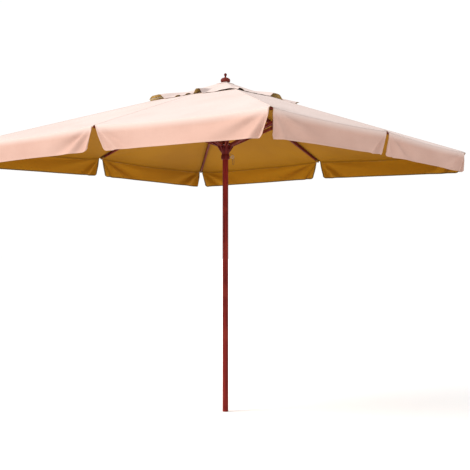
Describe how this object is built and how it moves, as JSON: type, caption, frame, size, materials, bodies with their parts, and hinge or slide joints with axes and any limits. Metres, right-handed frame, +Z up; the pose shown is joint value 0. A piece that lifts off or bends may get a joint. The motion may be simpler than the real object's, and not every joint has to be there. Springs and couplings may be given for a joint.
{
  "type": "market parasol",
  "caption": "Square wooden market parasol: turned pole and hubs, folding ribs and struts, beige cloth canopy with vent cap and hanging valances.",
  "frame": {"origin": "centre of the flat foot of the pole", "axes": "+Z up along the pole; +X and +Y at right angles to the sides of the square canopy, along its middle ribs"},
  "size_m": [3.0072, 3.0072, 2.8437],
  "materials": {
    "pole_wood": "satin",
    "turned_wood": "satin",
    "rib_wood": "satin",
    "strut_wood": "satin",
    "steel": "satin",
    "cord": "matte",
    "canopy_cloth": "matte",
    "valance_cloth": "matte",
    "cap_cloth": "matte"
  },
  "bodies": {
    "pole": {"pole": "pole_wood", "crown_hub": "turned_wood", "crown_ring": "steel", "cap_patch": "cap_cloth", "finial": "turned_wood"},
    "runner": {"runner": "turned_wood", "runner_ring": "steel", "pin_lanyard": "cord"},
    "lock_pin": {"lock_pin": "steel"},
    "rib_1": {"rib_1": "rib_wood", "strut_bolt_1": "steel", "canopy_panel_1": "canopy_cloth", "vent_cap_1": "cap_cloth"},
    "strut_1": {"strut_1": "strut_wood"},
    "valance_1": {"valance_1": "valance_cloth"},
    "rib_2": {"rib_2": "rib_wood", "strut_bolt_2": "steel", "canopy_panel_2": "canopy_cloth"},
    "strut_2": {"strut_2": "strut_wood"},
    "valance_2": {"valance_2": "valance_cloth"},
    "rib_3": {"rib_3": "rib_wood", "strut_bolt_3": "steel", "canopy_panel_3": "canopy_cloth", "vent_cap_2": "cap_cloth"},
    "strut_3": {"strut_3": "strut_wood"},
    "valance_3": {"valance_3": "valance_cloth"},
    "rib_4": {"rib_4": "rib_wood", "strut_bolt_4": "steel", "canopy_panel_4": "canopy_cloth"},
    "strut_4": {"strut_4": "strut_wood"},
    "valance_4": {"valance_4": "valance_cloth"},
    "rib_5": {"rib_5": "rib_wood", "strut_bolt_5": "steel", "canopy_panel_5": "canopy_cloth", "vent_cap_3": "cap_cloth"},
    "strut_5": {"strut_5": "strut_wood"},
    "valance_5": {"valance_5": "valance_cloth"},
    "rib_6": {"rib_6": "rib_wood", "strut_bolt_6": "steel", "canopy_panel_6": "canopy_cloth"},
    "strut_6": {"strut_6": "strut_wood"},
    "valance_6": {"valance_6": "valance_cloth"},
    "rib_7": {"rib_7": "rib_wood", "strut_bolt_7": "steel", "canopy_panel_7": "canopy_cloth", "vent_cap_4": "cap_cloth"},
    "strut_7": {"strut_7": "strut_wood"},
    "valance_7": {"valance_7": "valance_cloth"},
    "rib_8": {"rib_8": "rib_wood", "strut_bolt_8": "steel", "canopy_panel_8": "canopy_cloth"},
    "strut_8": {"strut_8": "strut_wood"},
    "valance_8": {"valance_8": "valance_cloth"}
  },
  "joints": [
    {"name": "runner_slide", "type": "slide", "parent": "pole", "child": "runner", "axis": [0, 0, -1], "range_m": [0, 0.97009]},
    {"name": "pin_pull", "type": "slide", "parent": "runner", "child": "lock_pin", "axis": [0.9239, 0.3827, 0], "range_m": [0, 0.025]},
    {"name": "rib_fold_1", "type": "hinge", "parent": "pole", "child": "rib_1", "pos_m": [0.056, 0, 2.715], "axis": [0, 1, 0], "range_deg": [0, 68.24], "deforming": ["canopy_panel_1", "vent_cap_1"]},
    {"name": "strut_fold_1", "type": "hinge", "parent": "rib_1", "child": "strut_1", "pos_m": [0.7409, 0, 2.475], "axis": [0, 1, 0], "range_deg": [-136.43, 0]},
    {"name": "valance_hang_1", "type": "hinge", "parent": "rib_1", "child": "valance_1", "pos_m": [1.5, 0, 2.229], "axis": [0, 1, 0], "range_deg": [-68.24, 0], "deforming": ["valance_1"]},
    {"name": "rib_fold_2", "type": "hinge", "parent": "pole", "child": "rib_2", "pos_m": [0.0396, 0.0396, 2.715], "axis": [-0.7071, 0.7071, 0], "range_deg": [0, 73.24], "deforming": ["canopy_panel_2"]},
    {"name": "strut_fold_2", "type": "hinge", "parent": "rib_2", "child": "strut_2", "pos_m": [0.52186, 0.52186, 2.54097], "axis": [-0.7071, 0.7071, 0], "range_deg": [-136.72, 0]},
    {"name": "valance_hang_2", "type": "hinge", "parent": "rib_2", "child": "valance_2", "pos_m": [1.5, 1.5, 2.208], "axis": [-0.7071, 0.7071, 0], "range_deg": [-73.24, 0], "deforming": ["valance_2"]},
    {"name": "rib_fold_3", "type": "hinge", "parent": "pole", "child": "rib_3", "pos_m": [0, 0.056, 2.715], "axis": [-1, 0, 0], "range_deg": [0, 68.24], "deforming": ["canopy_panel_3", "vent_cap_2"]},
    {"name": "strut_fold_3", "type": "hinge", "parent": "rib_3", "child": "strut_3", "pos_m": [0, 0.7409, 2.475], "axis": [-1, 0, 0], "range_deg": [-136.43, 0]},
    {"name": "valance_hang_3", "type": "hinge", "parent": "rib_3", "child": "valance_3", "pos_m": [0, 1.5, 2.229], "axis": [-1, 0, 0], "range_deg": [-68.24, 0], "deforming": ["valance_3"]},
    {"name": "rib_fold_4", "type": "hinge", "parent": "pole", "child": "rib_4", "pos_m": [-0.0396, 0.0396, 2.715], "axis": [-0.7071, -0.7071, 0], "range_deg": [0, 73.24], "deforming": ["canopy_panel_4"]},
    {"name": "strut_fold_4", "type": "hinge", "parent": "rib_4", "child": "strut_4", "pos_m": [-0.52186, 0.52186, 2.54097], "axis": [-0.7071, -0.7071, 0], "range_deg": [-136.72, 0]},
    {"name": "valance_hang_4", "type": "hinge", "parent": "rib_4", "child": "valance_4", "pos_m": [-1.5, 1.5, 2.208], "axis": [-0.7071, -0.7071, 0], "range_deg": [-73.24, 0], "deforming": ["valance_4"]},
    {"name": "rib_fold_5", "type": "hinge", "parent": "pole", "child": "rib_5", "pos_m": [-0.056, 0, 2.715], "axis": [0, -1, 0], "range_deg": [0, 68.24], "deforming": ["canopy_panel_5", "vent_cap_3"]},
    {"name": "strut_fold_5", "type": "hinge", "parent": "rib_5", "child": "strut_5", "pos_m": [-0.7409, 0, 2.475], "axis": [0, -1, 0], "range_deg": [-136.43, 0]},
    {"name": "valance_hang_5", "type": "hinge", "parent": "rib_5", "child": "valance_5", "pos_m": [-1.5, 0, 2.229], "axis": [0, -1, 0], "range_deg": [-68.24, 0], "deforming": ["valance_5"]},
    {"name": "rib_fold_6", "type": "hinge", "parent": "pole", "child": "rib_6", "pos_m": [-0.0396, -0.0396, 2.715], "axis": [0.7071, -0.7071, 0], "range_deg": [0, 73.24], "deforming": ["canopy_panel_6"]},
    {"name": "strut_fold_6", "type": "hinge", "parent": "rib_6", "child": "strut_6", "pos_m": [-0.52186, -0.52186, 2.54097], "axis": [0.7071, -0.7071, 0], "range_deg": [-136.72, 0]},
    {"name": "valance_hang_6", "type": "hinge", "parent": "rib_6", "child": "valance_6", "pos_m": [-1.5, -1.5, 2.208], "axis": [0.7071, -0.7071, 0], "range_deg": [-73.24, 0], "deforming": ["valance_6"]},
    {"name": "rib_fold_7", "type": "hinge", "parent": "pole", "child": "rib_7", "pos_m": [0, -0.056, 2.715], "axis": [1, 0, 0], "range_deg": [0, 68.24], "deforming": ["canopy_panel_7", "vent_cap_4"]},
    {"name": "strut_fold_7", "type": "hinge", "parent": "rib_7", "child": "strut_7", "pos_m": [0, -0.7409, 2.475], "axis": [1, 0, 0], "range_deg": [-136.43, 0]},
    {"name": "valance_hang_7", "type": "hinge", "parent": "rib_7", "child": "valance_7", "pos_m": [0, -1.5, 2.229], "axis": [1, 0, 0], "range_deg": [-68.24, 0], "deforming": ["valance_7"]},
    {"name": "rib_fold_8", "type": "hinge", "parent": "pole", "child": "rib_8", "pos_m": [0.0396, -0.0396, 2.715], "axis": [0.7071, 0.7071, 0], "range_deg": [0, 73.24], "deforming": ["canopy_panel_8"]},
    {"name": "strut_fold_8", "type": "hinge", "parent": "rib_8", "child": "strut_8", "pos_m": [0.52186, -0.52186, 2.54097], "axis": [0.7071, 0.7071, 0], "range_deg": [-136.72, 0]},
    {"name": "valance_hang_8", "type": "hinge", "parent": "rib_8", "child": "valance_8", "pos_m": [1.5, -1.5, 2.208], "axis": [0.7071, 0.7071, 0], "range_deg": [-73.24, 0], "deforming": ["valance_8"]}
  ],
  "couplings": [
    {"joint": "rib_fold_1", "follows": "runner_slide", "rad_per_m": 1.2268},
    {"joint": "strut_fold_1", "follows": "runner_slide", "rad_per_m": -2.4536},
    {"joint": "valance_hang_1", "follows": "runner_slide", "rad_per_m": -1.2268},
    {"joint": "rib_fold_2", "follows": "runner_slide", "rad_per_m": 1.3167},
    {"joint": "strut_fold_2", "follows": "runner_slide", "rad_per_m": -2.4589},
    {"joint": "valance_hang_2", "follows": "runner_slide", "rad_per_m": -1.3167},
    {"joint": "rib_fold_3", "follows": "runner_slide", "rad_per_m": 1.2268},
    {"joint": "strut_fold_3", "follows": "runner_slide", "rad_per_m": -2.4536},
    {"joint": "valance_hang_3", "follows": "runner_slide", "rad_per_m": -1.2268},
    {"joint": "rib_fold_4", "follows": "runner_slide", "rad_per_m": 1.3167},
    {"joint": "strut_fold_4", "follows": "runner_slide", "rad_per_m": -2.4589},
    {"joint": "valance_hang_4", "follows": "runner_slide", "rad_per_m": -1.3167},
    {"joint": "rib_fold_5", "follows": "runner_slide", "rad_per_m": 1.2268},
    {"joint": "strut_fold_5", "follows": "runner_slide", "rad_per_m": -2.4536},
    {"joint": "valance_hang_5", "follows": "runner_slide", "rad_per_m": -1.2268},
    {"joint": "rib_fold_6", "follows": "runner_slide", "rad_per_m": 1.3167},
    {"joint": "strut_fold_6", "follows": "runner_slide", "rad_per_m": -2.4589},
    {"joint": "valance_hang_6", "follows": "runner_slide", "rad_per_m": -1.3167},
    {"joint": "rib_fold_7", "follows": "runner_slide", "rad_per_m": 1.2268},
    {"joint": "strut_fold_7", "follows": "runner_slide", "rad_per_m": -2.4536},
    {"joint": "valance_hang_7", "follows": "runner_slide", "rad_per_m": -1.2268},
    {"joint": "rib_fold_8", "follows": "runner_slide", "rad_per_m": 1.3167},
    {"joint": "strut_fold_8", "follows": "runner_slide", "rad_per_m": -2.4589},
    {"joint": "valance_hang_8", "follows": "runner_slide", "rad_per_m": -1.3167}
  ]
}
